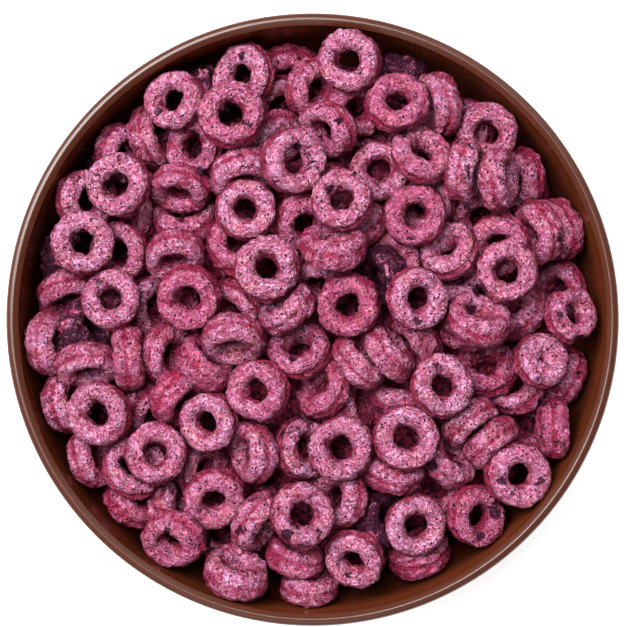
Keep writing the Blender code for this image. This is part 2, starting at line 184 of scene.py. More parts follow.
def facing(tilt: np.ndarray, toward: np.ndarray) -> np.ndarray:
    """Unit normals leaning by a tilt from straight up, toward an angle in plan.

    Args:
        tilt: Lean from the vertical in degrees.
        toward: Angle in plan in degrees.

    Returns:
        One unit vector for each ring.
    """
    tilt, toward = np.radians(tilt), np.radians(toward)
    return np.stack([np.sin(tilt) * np.cos(toward), np.sin(tilt) * np.sin(toward), np.cos(tilt)], axis=-1)


def frames_of(normals: np.ndarray) -> tuple[np.ndarray, np.ndarray]:
    """Two unit vectors across each ring's axis.

    Args:
        normals: The rings' axes.

    Returns:
        The first and second vectors, at right angles to the axis and to each other.
    """
    # A direction that never lies along the axis: x, or y where the axis itself is near x.
    aside = np.where(np.abs(normals[:, :1]) > 0.9, [[0.0, 1.0, 0.0]], [[1.0, 0.0, 0.0]])
    across = np.cross(normals, aside)
    across /= np.linalg.norm(across, axis=1, keepdims=True)
    return across, np.cross(normals, across)


class Nudges:
    """The shifts and turns that one round of settling gives to the rings."""

    PUSH_SHARE = (0.6, 0.6, 1.3)
    TURN_SHARE = 0.3
    FREE_TOUCHES = 1.6

    def __init__(self, count: int, ring_radius: float) -> None:
        """Starts with no shift and no turn.

        Args:
            count: How many rings there are.
            ring_radius: Radius of a ring's section middle, which sets how far a push turns it.
        """
        self.shifts = np.zeros((count, 3))
        self.turns = np.zeros((count, 3))
        self.touches = np.zeros(count)
        self.ring_radius = ring_radius

    def add(self, rings: np.ndarray, pushes: np.ndarray, arms: np.ndarray) -> None:
        """Most of each push shifts its ring, and the rest turns it by the push's moment.

        Args:
            rings: Numbers of the pushed rings.
            pushes: Push on each.
            arms: From each ring's middle to where the push acts.
        """
        np.add.at(self.shifts, rings, (1 - self.TURN_SHARE) * pushes * self.PUSH_SHARE)
        np.add.at(self.turns, rings, self.TURN_SHARE * np.cross(arms, pushes) / self.ring_radius**2)
        np.add.at(self.touches, rings, 1)

    def share(self) -> tuple[np.ndarray, np.ndarray]:
        """Shifts and turns, lessened for a ring with many touches so that they don't add up too far."""
        part = (self.FREE_TOUCHES / np.maximum(self.touches, self.FREE_TOUCHES))[:, None]
        return self.shifts * part, self.turns * part


@dataclass(frozen=True)
class RingForm:
    """One cereal ring: its section's middle radius, half width and half height."""

    radius: float = 5.3 * MM
    half_width: float = 2.5 * MM
    half_height: float = 3.5 * MM
    size_spread: float = 0.05


@dataclass
class SettledRings:
    """Where the rings lie: middles, axes and sizes, with those that show first."""

    middles: np.ndarray
    normals: np.ndarray
    sizes: np.ndarray
    seen: int


@dataclass(frozen=True)
class HeapLayout:
    """Lays the rings on a shallow dome and lets them settle on each other, as their solid does."""

    bowl: BowlForm = BowlForm()
    ring: RingForm = RingForm()
    photograph: Photograph = Photograph()
    dome_crown: float = 0.5 * MM
    dome_fall: float = 8.0 * MM
    dome_radius: float = 62 * MM
    layer_drops: tuple[float, ...] = (0.0, 4.6 * MM, 8.8 * MM)
    lean_drop: float = 0.7
    lower_drop: float = 16 * MM
    lower_spacing: float = 15.5 * MM
    lower_scatter: float = 0.2
    lower_tilt: float = 60.0
    floor_drop: float = 24 * MM
    clearance: float = 0.45 * MM
    seed: int = 11
    balls_round: int = 12
    ball_spare: float = 0.15 * MM
    rounds: int = 200
    sink: float = 0.04 * MM
    place_pull: float = 0.12
    level_pull: float = 0.05
    tilt_pull: float = 0.10
    lower_hold: float = 0.15
    pair_reach: float = 2.1
    wall_push: float = 2.0

    @property
    def ball_radius(self) -> float:
        """Radius of the balls that a ring is felt through."""
        return self.ring.half_width + self.ball_spare

    def dome_level(self, radius: np.ndarray) -> np.ndarray:
        """Height of the upper rings' middles at a distance from the bowl's axis, falling as its square."""
        return self.bowl.height + self.dome_crown - self.dome_fall * (radius / self.dome_radius) ** 2

    def scorching(self, points: np.ndarray) -> np.ndarray:
        """How scorched points are: near each dark place, one over e to the distance's fourth power.

        Args:
            points: Points of the rings, with coordinates last.

        Returns:
            1 in the middle of a dark place, and 0 away from all.
        """
        x_px, y_px, radius_px = np.array(SCORCHED_PLACES_PX, float).T
        plan = self.photograph.plan(x_px, y_px, self.bowl.radius)
        radius = radius_px * self.bowl.radius / self.photograph.radius_px
        nearer = 1 - (points[..., 2:] - self.bowl.lip_level) / self.photograph.distance
        seen = points[..., :2] / nearer
        scorched = np.zeros(points.shape[:-1])
        for place_in_plan, reach in zip(plan, radius):
            away = ((seen - place_in_plan) ** 2).sum(axis=-1) / reach**2
            scorched = np.maximum(scorched, np.exp(-(away**2)))
        return scorched

    def seen_rings(self) -> tuple[np.ndarray, np.ndarray]:
        """Middles and normals of the rings in the photograph, laid on the dome.

        A ring on its edge reaches higher over its middle than a flat one, so its middle lies lower.

        Returns:
            The middles and the normals.
        """
        x_px, y_px, tilt, toward, over = np.array(SEEN_RINGS, float).T
        plan = self.photograph.plan(x_px, y_px, self.bowl.radius)
        level = self.dome_level(np.linalg.norm(plan, axis=1)) - np.array(self.layer_drops)[over.astype(int)]
        reach = (self.ring.radius + self.ring.half_width) * np.sin(np.radians(tilt))
        level -= self.lean_drop * (reach - self.ring.half_height * (1 - np.cos(np.radians(tilt))))
        plan *= (1 + (self.bowl.height - level) / self.photograph.distance)[:, None]
        return np.column_stack([plan, level]), facing(tilt, toward)

    def lower_rings(self, draws: np.random.RandomState) -> tuple[np.ndarray, np.ndarray]:
        """The layer below: a loose six-sided scatter, tilted at random.

        Args:
            draws: Where the random numbers come from.

        Returns:
            The middles and the normals.
        """
        rows = int(self.dome_radius / self.lower_spacing) + 1
        row, column = np.mgrid[-rows : rows + 1, -rows : rows + 1].reshape(2, -1)
        plan = np.stack([column + 0.5 * (row % 2), row * math.sin(math.radians(60))], axis=1)
        plan = plan * self.lower_spacing
        plan += draws.uniform(-self.lower_scatter, self.lower_scatter, plan.shape) * self.lower_spacing
        plan = plan[np.linalg.norm(plan, axis=1) < self.dome_radius - self.ring.half_width]
        level = self.dome_level(np.linalg.norm(plan, axis=1)) - self.lower_drop
        tilt = draws.uniform(0, self.lower_tilt, len(plan))
        normals = facing(tilt, draws.uniform(0, 360, len(plan)))
        return np.column_stack([plan, level]), normals

    def balls_of(self, middles: np.ndarray, normals: np.ndarray, sizes: np.ndarray) -> np.ndarray:
        """Middles of the balls that fill each ring: a circle of them above its middle plane, one below.

        Args:
            middles: The rings' middles.
            normals: The rings' axes.
            sizes: The rings' sizes, 1 for the usual one.

        Returns:
            An array of rings by balls by coordinates.
        """
        across, along = frames_of(normals)
        turn = (np.arange(self.balls_round) * math.tau / self.balls_round)[None, :, None]
        circle = np.cos(turn) * across[:, None] + np.sin(turn) * along[:, None]
        circle *= (self.ring.radius * sizes)[:, None, None]
        raise_by = self.ring.half_height - self.ring.half_width
        lift = (raise_by * sizes[:, None] * normals)[:, None]
        return middles[:, None] + np.concatenate([circle + lift, circle - lift], axis=1)

    def push_apart(self, middles: np.ndarray, balls: np.ndarray, sizes: np.ndarray, nudges: Nudges) -> None:
        """Pushes overlapping pairs apart, along the mean way between their touching balls.

        Args:
            middles: The rings' middles.
            balls: The rings' balls.
            sizes: The rings' sizes.
            nudges: Takes the pushes.
        """
        reach = self.pair_reach * (self.ring.radius + self.ring.half_height)
        gap = np.linalg.norm(middles[:, None] - middles[None], axis=2)
        first, second = np.nonzero(np.triu(gap < reach, k=1))
        apart = balls[first][:, :, None] - balls[second][:, None]
        distance = np.maximum(np.sqrt((apart**2).sum(axis=3)), TINY)
        room = self.ball_radius * (sizes[first] + sizes[second])[:, None, None]
        overlap = np.maximum(room - distance, 0)
        touching = np.nonzero(overlap.max(axis=(1, 2)) > 0)[0]
        first, second, apart = first[touching], second[touching], apart[touching]
        distance, overlap = distance[touching], overlap[touching]
        weight = overlap / overlap.sum(axis=(1, 2), keepdims=True)
        way = (apart * (weight / distance)[..., None]).sum(axis=(1, 2))
        push = way * overlap.max(axis=(1, 2))[:, None]
        arm_first = (balls[first] * weight.sum(axis=2)[..., None]).sum(axis=1) - middles[first]
        arm_second = (balls[second] * weight.sum(axis=1)[..., None]).sum(axis=1) - middles[second]
        nudges.add(first, push / 2, arm_first)
        nudges.add(second, -push / 2, arm_second)

    def push_inside(self, middles: np.ndarray, balls: np.ndarray, sizes: np.ndarray, nudges: Nudges) -> None:
        """Pushes rings in from the bowl's wall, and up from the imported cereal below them.

        Args:
            middles: The rings' middles.
            balls: The rings' balls.
            sizes: The rings' sizes.
            nudges: Takes the pushes.
        """
        bowl, fullness = self.bowl, self.bowl.hollow_fullness
        radius = np.linalg.norm(balls[..., :2], axis=2)
        room = self.ball_radius * sizes[:, None] + self.clearance
        depth = np.maximum(bowl.lip_level - balls[..., 2], 0)
        share = (radius / (bowl.hollow_radius - room)) ** fullness
        share = (share + (depth / (bowl.hollow_depth - room)) ** fullness) ** (1 / fullness)
        out = balls - [0, 0, bowl.lip_level]
        out[..., 2] = np.minimum(out[..., 2], 0)
        push = -out * np.maximum(1 - 1 / np.maximum(share, TINY), 0)[..., None]
        push[..., 2] += np.maximum(self.dome_level(radius) - self.floor_drop + room - balls[..., 2], 0)
        ring = np.arange(len(middles))
        worst = np.argmax(np.linalg.norm(push, axis=2), axis=1)
        push, arm = push[ring, worst], balls[ring, worst] - middles
        hit = np.linalg.norm(push, axis=1) > 0
        nudges.add(ring[hit], self.wall_push * push[hit], arm[hit])

    def settle(self) -> SettledRings:
        """Lets the rings sink, draws those that show back to their places, and pushes apart overlaps.

        The numbers are rounded, so small differences in arithmetic don't grow from round to round.

        Returns:
            Where the rings come to rest.
        """
        draws = np.random.RandomState(self.seed)
        places, fronts = self.seen_rings()
        lower_places, lower_fronts = self.lower_rings(draws)
        count = len(places)
        places, fronts = np.concatenate([places, lower_places]), np.concatenate([fronts, lower_fronts])
        sizes = 1 + draws.uniform(-1, 1, len(places)) * self.ring.size_spread
        hold = np.where(np.arange(len(places)) < count, 1, self.lower_hold)[:, None]
        middles, normals = places.copy(), fronts.copy()
        for number in range(self.rounds):
            ease = 1 - number / self.rounds
            pull = ease * hold * (places - middles) * [self.place_pull, self.place_pull, self.level_pull]
            middles += pull - [0, 0, self.sink * ease]
            normals += self.tilt_pull * ease * hold * (fronts - normals)
            balls = self.balls_of(middles, normals / np.linalg.norm(normals, axis=1, keepdims=True), sizes)
            nudges = Nudges(len(middles), self.ring.radius)
            self.push_apart(middles, balls, sizes, nudges)
            self.push_inside(middles, balls, sizes, nudges)
            shifts, turns = nudges.share()
            middles = np.round(middles + shifts, 7)
            normals = normals + np.cross(turns, normals)
            normals = np.round(normals / np.linalg.norm(normals, axis=1, keepdims=True), 6)
        return SettledRings(middles, normals, sizes, count)


def grid_mesh(name: str, points: np.ndarray) -> bpy.types.Mesh:
    """A mesh of tubes, each a grid of points that closes on itself both ways.

    Args:
        name: The mesh's name.
        points: An array of tubes by steps round by steps across by coordinates.

    Returns:
        The mesh, with smooth faces that point outwards.
    """
    tubes, round_steps, across_steps, _ = points.shape
    corner = np.arange(tubes * round_steps * across_steps).reshape(tubes, round_steps, across_steps)
    beyond, above = np.roll(corner, -1, axis=1), np.roll(corner, -1, axis=2)
    quads = np.stack([corner, beyond, np.roll(beyond, -1, axis=2), above], axis=-1)
    mesh = bpy.data.meshes.new(name)
    mesh.vertices.add(corner.size)
    mesh.vertices.foreach_set("co", points.astype(np.float32).ravel())
    mesh.loops.add(quads.size)
    mesh.loops.foreach_set("vertex_index", quads.astype(np.int32).ravel())
    mesh.polygons.add(corner.size)
    mesh.polygons.foreach_set("loop_start", np.arange(0, quads.size, 4, dtype=np.int32))
    mesh.update(calc_edges=True)
    mesh.validate()
    mesh.shade_smooth()
    return mesh


def turned_mesh(name: str, sheet: np.ndarray, first: float, last: float) -> bpy.types.Mesh:
    """A closed mesh of rows round the z axis, which close on a corner on the axis at both ends.

    Args:
        name: The mesh's name.
        sheet: An array of rows by steps round by coordinates, from the top's middle over its edge.
        first: Height of the corner before the first row.
        last: Height of the corner after the last row.

    Returns:
        The mesh, with smooth faces that point outwards.
    """
    points = np.concatenate([[[0, 0, first]], sheet.reshape(-1, 3), [[0, 0, last]]])
    rows, steps = sheet.shape[:2]
    corner = 1 + np.arange(rows * steps).reshape(rows, steps)
    after = np.roll(corner, -1, axis=1)
    quads = np.stack([corner[:-1], corner[1:], after[1:], after[:-1]], axis=-1).reshape(-1, 4)
    first_fan = np.stack([np.zeros(steps, int), corner[0], after[0]], axis=1)
    last_fan = np.stack([np.full(steps, len(points) - 1), after[-1], corner[-1]], axis=1)
    mesh = bpy.data.meshes.new(name)
    mesh.from_pydata(points.tolist(), [], quads.tolist() + first_fan.tolist() + last_fan.tolist())
    mesh.shade_smooth()
    return mesh


def store_finish(mesh: bpy.types.Mesh, finish: np.ndarray) -> None:
    """Stores what the cereal's material reads at each corner of a mesh.

    Args:
        mesh: The mesh.
        finish: Four values for each corner.
    """
    layer = mesh.attributes.new("finish", "FLOAT_COLOR", "POINT")
    layer.data.foreach_set("color", finish.astype(np.float32).ravel())


def place(name: str, mesh: bpy.types.Mesh, material: bpy.types.Material, node: str) -> None:
    """Puts a finished mesh in the scene in a solid's stead.

    Args:
        name: The piece's name.
        mesh: Its mesh, already where it belongs.
        material: Its finish.
        node: The solid that it replaces.
    """
    mesh.materials.append(material)
    piece = bpy.data.objects.new(name, mesh)
    bpy.context.scene.collection.objects.link(piece)
    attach(piece, ROOT)
    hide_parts(node)
    LOG.info("%s: %d faces", name, len(mesh.polygons))


class NodeSheet:
    """Adds shader nodes to a material, and wires them by name."""

    DOT_WARP = 0.7
    DOT_WARP_SIZE = 0.6
    PICK_BLEND = 0.01

    def __init__(self, name: str) -> None:
        """Starts a material with its Principled shader.

        Args:
            name: The material's name.
        """
        self.material = bpy.data.materials.new(name)
        self.material.use_nodes = True
        self.tree = self.material.node_tree
        self.shader = self.tree.nodes["Principled BSDF"]
        self.place = self.add("ShaderNodeTexCoord").outputs["Object"]

    def add(self, kind: str, **values: object) -> bpy.types.Node:
        """Adds a node.

        Args:
            kind: Blender's name for the kind of node.
            values: Its settings, and the values of its inputs, whose names have spaces for underscores.

        Returns:
            The node.
        """
        node = self.tree.nodes.new(kind)
        for key, value in values.items():
            socket = node.inputs.get(key.replace("_", " ").title()) if not hasattr(node, key) else None
            if socket is not None:
                socket.default_value = value
            else:
                setattr(node, key, value)
        return node

    def link(self, source: Socket, target: Socket) -> None:
        """Wires one socket to another."""
        self.tree.links.new(source, target)

    def noise(
        self, size: float, detail: float = 3.0, roughness: float = 0.55, distortion: float = 0.0
    ) -> Socket:
        """Cloudy noise with patches of a size in metres.

        Args:
            size: The patches' size.
            detail: How many finer layers it has.
            roughness: How strong they are.
            distortion: How far its own noise bends it, which draws it into curls.

        Returns:
            Its value, about 0.5 in the middle.
        """
        node = self.add("ShaderNodeTexNoise", scale=1 / size, detail=detail, roughness=roughness)
        node.inputs["Distortion"].default_value = distortion
        self.link(self.place, node.inputs["Vector"])
        return node.outputs["Fac"]

    def dots(self, spacing: float, radius: float, soft: float, share: float) -> Socket:
        """Small round dots, one in some of the cells of a random pattern.

        Args:
            spacing: The cells' size in metres.
            radius: The dots' radius in metres.
            soft: Width of the dots' soft edge in metres.
            share: The share of cells that has a dot.

        Returns:
            1 inside a dot and 0 outside.
        """
        cells = self.add("ShaderNodeTexVoronoi", scale=1 / spacing)
        ragged = self.warped(spacing * self.DOT_WARP, spacing * self.DOT_WARP_SIZE)
        self.link(ragged, cells.inputs["Vector"])
        distance = cells.outputs["Distance"]
        inside = self.ramp(distance, (radius - soft) / spacing, (radius + soft) / spacing, 1, 0)
        pick = self.add("ShaderNodeSeparateColor")
        self.link(cells.outputs["Color"], pick.inputs["Color"])
        low, high = share - self.PICK_BLEND, share + self.PICK_BLEND
        chosen = self.ramp(pick.outputs["Red"], low, high, 1, 0)
        return self.math("MULTIPLY", inside, chosen)

    def warped(self, amount: float, size: float) -> Socket:
        """The place, shifted by noise, so that round cells turn ragged.

        Args:
            amount: How far the shift goes, in metres.
            size: The noise's patches.

        Returns:
            The shifted place.
        """
        node = self.add("ShaderNodeTexNoise", scale=1 / size, detail=2.0)
        self.link(self.place, node.inputs["Vector"])
        shift = self.add("ShaderNodeVectorMath", operation="MULTIPLY_ADD")
        self.link(node.outputs["Color"], shift.inputs[0])
        shift.inputs[1].default_value = (amount,) * 3
        self.link(self.place, shift.inputs[2])
        return shift.outputs["Vector"]

    def ramp(
        self, source: Socket, low: float, high: float, start: float = 0.0, end: float = 1.0
    ) -> Socket:
        """Turns a range of values smoothly into another.

        Args:
            source: The value.
            low: Where the range starts.
            high: Where it ends.
            start: The result at its start.
            end: The result at its end.

        Returns:
            The result, which stays between start and end.
        """
        node = self.add("ShaderNodeMapRange", interpolation_type="SMOOTHSTEP")
        for name, value in (("From Min", low), ("From Max", high), ("To Min", start), ("To Max", end)):
            node.inputs[name].default_value = value
        self.link(source, node.inputs["Value"])
        return node.outputs["Result"]

    def math(self, operation: str, first: Socket, second: Socket | float) -> Socket:
        """A sum, product or other operation on two values.

        Args:
            operation: Blender's name for it.
            first: The first value.
            second: The second value, wired or fixed.

        Returns:
            The result.
        """
        node = self.add("ShaderNodeMath", operation=operation)
        self.link(first, node.inputs[0])
        if isinstance(second, Socket):
            self.link(second, node.inputs[1])
        else:
            node.inputs[1].default_value = second
        return node.outputs["Value"]

    def mix(self, share: Socket, first: Socket | Colour, second: Socket | Colour) -> Socket:
        """A mix of two colours.

        Args:
            share: How much of the second colour there is.
            first: The first colour, wired or fixed.
            second: The second colour, wired or fixed.

        Returns:
            The mixed colour.
        """
        node = self.add("ShaderNodeMix", data_type="RGBA")
        self.link(share, node.inputs["Factor"])
        for socket, value in ((node.inputs[6], first), (node.inputs[7], second)):
            if isinstance(value, Socket):
                self.link(value, socket)
            else:
                socket.default_value = (*value, 1.0)
        return node.outputs[2]

    def attribute(self, name: str, output: str) -> Socket:
        """What the mesh stores under a name, as its "Color" or as its "Fac", a number."""
        return self.add("ShaderNodeAttribute", attribute_name=name).outputs[output]

    def away(self, size: float, detail: float, roughness: float, distortion: float) -> Socket:
        """How far noise is from its middle value, so that 0 runs along winding lines.

        Args:
            size: The noise's patches, in metres.
            detail: How many finer layers it has.
            roughness: How strong they are.
            distortion: How far its own noise bends it.

        Returns:
            0 on a line, and more away from it.
        """
        noise = self.noise(size, detail, roughness, distortion)
        return self.math("ABSOLUTE", self.math("SUBTRACT", noise, 0.5), 0.0)

    def fix(self, values: dict[str, float]) -> None:
        """Sets fixed values on the shader's own sockets, by their names."""
        for name, value in values.items():
            self.shader.inputs[name].default_value = value

    def bump(self, height: Socket, depth: float) -> None:
        """Gives the shader relief.

        Args:
            height: The height, from 0 to 1.
            depth: How deep 1 is, in metres.
        """
        node = self.add("ShaderNodeBump", distance=depth)
        self.link(height, node.inputs["Height"])
        self.link(node.outputs["Normal"], self.shader.inputs["Normal"])


@dataclass(frozen=True)
class GlazeFinish:
    """A glossy dark red-brown glaze with its own tone on the edge, darkened down the hollow by painted
    shade, with bare clay under the foot.

    A noise holds its patches' size, its detail, roughness and distortion. Dots hold their spacing,
    radius, soft edge and share. A rise turns its first two values into its last two, or into 0 and 1.
    """

    # deep is near-black painted shade for the hollow below the lip, and also the freckles' colour.
    deep: Colour = (0.020, 0.004, 0.002)
    warm: Colour = (0.175, 0.039, 0.013)
    edge: Colour = (0.068, 0.0170, 0.0085)
    outer: Colour = (0.072, 0.018, 0.008)
    outer_cloud: Colour = (0.100, 0.026, 0.010)
    clay: Colour = (0.34, 0.20, 0.12)
    # Painted shade: how far below the rim the hollow fades from deep to warm.
    shade_fade_below: float = 14 * MM
    shade_fade_above: float = 3 * MM
    shade_fade_range: tuple[float, float] = (0.0, 0.95)
    lip_below: float = 1.6 * MM
    lip_above: float = 0.2 * MM
    cloud_noise: tuple[float, ...] = (22 * MM, 4.0)
    cloud_rise: tuple[float, ...] = (0.30, 0.70)
    cloud_warmth: float = 0.2
    freckle_dots: tuple[float, ...] = (2.4 * MM, 0.22 * MM, 0.1 * MM, 0.35)
    freckle_strength: float = 0.5
    bare_level: float = 1.4 * MM
    bare_blend: float = 0.5 * MM
    smear_noise: tuple[float, ...] = (6 * MM, 3.0)
    smear_rise: tuple[float, ...] = (0.3, 0.7, 0.11, 0.19)
    lip_roughness: float = 0.30
    bare_roughness: float = 0.80
    ripple_noise: tuple[float, ...] = (3.5 * MM, 2.0)
    ripple_depth: float = 0.03 * MM
    refraction: float = 1.45
    coat: float = 0.06
    coat_roughness: float = 0.10

    def material(self, form: BowlForm) -> bpy.types.Material:
        """Builds the glaze's material, which reads the mesh's "inside" value: 1 in the hollow, else 0.

        Args:
            form: The bowl's sizes, which say where the edge and the foot are.

        Returns:
            The material.
        """
        sheet = NodeSheet("bowl_glaze")
        shader = sheet.shader
        height = sheet.add("ShaderNodeSeparateXYZ")
        sheet.link(sheet.place, height.inputs["Vector"])
        level = height.outputs["Z"]
        # In the hollow it is warm near the lip and darkens to near black below: painted shade where the
        # rings shade the wall, with faint clouds.
        start, end = form.height - self.shade_fade_below, form.height - self.shade_fade_above
        unshaded_share = sheet.ramp(level, start, end, *self.shade_fade_range)
        cloud = sheet.ramp(sheet.noise(*self.cloud_noise), *self.cloud_rise)
        warmth = sheet.math("ADD", unshaded_share, sheet.math("MULTIPLY", cloud, self.cloud_warmth))
        hollow = sheet.mix(warmth, self.deep, self.warm)
        outside = sheet.mix(cloud, self.outer, self.outer_cloud)
        colour = sheet.mix(sheet.attribute("inside", "Fac"), outside, hollow)
        lip = sheet.ramp(level, form.height - self.lip_below, form.height - self.lip_above)
        colour = sheet.mix(lip, colour, self.edge)
        freckles = sheet.math("MULTIPLY", sheet.dots(*self.freckle_dots), self.freckle_strength)
        colour = sheet.mix(freckles, colour, self.deep)
        # The foot stands on bare clay.
        bare = sheet.ramp(level, self.bare_level, self.bare_level - self.bare_blend)
        colour = sheet.mix(bare, colour, self.clay)
        sheet.link(colour, shader.inputs["Base Color"])
        rough = sheet.ramp(sheet.noise(*self.smear_noise), *self.smear_rise)
        rough = sheet.math("MAXIMUM", rough, sheet.math("MULTIPLY", lip, self.lip_roughness))
        rough = sheet.math("MAXIMUM", rough, sheet.math("MULTIPLY", bare, self.bare_roughness))
        sheet.link(rough, shader.inputs["Roughness"])
        sheet.fix({"IOR": self.refraction, "Coat Weight": self.coat})
        sheet.fix({"Coat Roughness": self.coat_roughness})
        sheet.bump(sheet.noise(*self.ripple_noise), self.ripple_depth)
        return sheet.material


@dataclass
class Bowl:
    """The bowl: one turned surface, with the fine ridges that turning leaves."""

    form: BowlForm = BowlForm()
    finish: GlazeFinish = GlazeFinish()
    turn_steps: int = 288
    hollow_steps: int = 64
    outside_steps: int = 56
    lip_steps: int = 16
    corner_steps: int = 7
    foot_steps: int = 6
    lip_outer_width: float = 1.72 * MM
    lip_turn: float = 0.60 * MM
    lip_slope: float = 38.0
    lip_edge: float = 0.22 * MM
    ridge_depth: float = 0.06 * MM
    ridge_spacing: float = 2.6 * MM

    @staticmethod
    def arc(
        middle: tuple[float, float], radius: float, start: float, end: float, steps: int
    ) -> np.ndarray:
        """Points of an arc: middle plus radius times the cosine and sine of evenly spaced angles.

        Args:
            middle: Radius and height of its middle.
            radius: Its radius.
            start: Its first angle in degrees.
            end: Its last angle in degrees.
            steps: How many points it has.

        Returns:
            Radius and height of each point.
        """
        turn = np.radians(np.linspace(start, end, steps))
        return np.stack([middle[0] + radius * np.cos(turn), middle[1] + radius * np.sin(turn)], axis=1)

    def lip(self) -> np.ndarray:
        """The lip from its inner edge to its widest point.

        A quarter ellipse rises from outside to the crest. A tight arc turns it down, a flat slope
        follows, and a small arc ends it upright at the hollow.

        Returns:
            Radius and height of each point.
        """
        form, slope = self.form, math.radians(self.lip_slope)
        half = form.lip_width / 2
        crest = form.radius - self.lip_outer_width
        turn = np.linspace(math.pi / 2, 0, self.lip_steps)
        radius, level = crest + self.lip_outer_width * np.cos(turn), form.lip_level + half * np.sin(turn)
        outer = np.stack([radius, level], axis=1)
        middle = (crest, form.height - self.lip_turn)
        tight = self.arc(middle, self.lip_turn, 90 + self.lip_slope, 90, self.corner_steps)[:-1]
        inside, edge = form.hollow_radius, self.lip_edge
        run = tight[0, 0] - inside - edge * (1 - math.sin(slope))
        start = (inside + edge, tight[0, 1] - run * math.tan(slope) - edge * math.cos(slope))
        corner = self.arc(start, edge, 180, 90 + self.lip_slope, self.corner_steps)
        upright = np.linspace(form.lip_level, corner[0, 1], 4)[1:-1]
        wall = np.stack([np.full(len(upright), inside), upright], axis=1)
        return np.concatenate([[[inside, form.lip_level]], wall, corner, tight, outer])

    def hollow(self) -> np.ndarray:
        """The hollow from the middle of its floor to its lip, by a rounded-off ellipse.

        Radius and depth are the ellipse's half axes times the cosine and sine of an angle, each to
        the power of two over the fullness.

        Returns:
            Radius and height of each point.
        """
        form = self.form
        turn = np.linspace(math.pi / 2, 0, self.hollow_steps)
        radius = form.hollow_radius * np.abs(np.cos(turn)) ** (2 / form.hollow_fullness)
        depth = form.hollow_depth * np.sin(turn) ** (2 / form.hollow_fullness)
        return np.stack([radius, form.lip_level - depth], axis=1)

    def outline(self) -> np.ndarray:
        """The section from the floor's middle over the lip and down the outside to the recess's middle.

        The outside is an ellipse below the lip's middle, less the fine ridges: a sine of the height.

        Returns:
            Radius and height of each point.
        """
        form = self.form
        foot_turn = math.asin((form.lip_level - form.foot_height) / form.outside_depth)
        turn = np.linspace(0, foot_turn, self.outside_steps)[1:]
        level = form.lip_level - form.outside_depth * np.sin(turn)
        ridge = np.sin(math.tau * level / self.ridge_spacing) - 1
        outside = np.stack([form.radius * np.cos(turn) + 0.5 * self.ridge_depth * ridge, level], axis=1)
        inner, edge, steps = form.foot_radius - form.foot_width, form.foot_edge, self.foot_steps
        foot = [
            self.arc((form.foot_radius - edge, edge), edge, 0, -90, steps),
            self.arc((inner + edge, edge), edge, -90, -180, steps),
            self.arc((inner - edge, form.recess_height - edge), edge, 0, 90, steps),
            np.array([[inner * 0.5, form.recess_height], [0.0, form.recess_height]]),
        ]
        return np.concatenate([self.hollow()[:-1], self.lip(), outside, *foot])

    def build(self) -> None:
        """Turns the section round the axis and puts the bowl in its solid's stead.

        Each point is the section's radius times the cosine and sine of the turn, at its height. The
        first and last points lie on the axis, where the rows of faces close on one corner.
        """
        outline = self.outline()
        turn = np.arange(self.turn_steps) * math.tau / self.turn_steps
        radius, height = outline[1:-1, :1], outline[1:-1, 1:]
        sheet = np.stack([radius * np.cos(turn), radius * np.sin(turn), height + 0 * turn], axis=-1)
        mesh = turned_mesh("bowl_turned", sheet, outline[0, 1], outline[-1, 1])
        inside = np.arange(len(mesh.vertices)) <= self.hollow_steps * self.turn_steps
        mesh.attributes.new("inside", "FLOAT", "POINT").data.foreach_set("value", inside.astype(np.float32))
        place("bowl_turned", mesh, self.finish.material(self.form), "bowl")


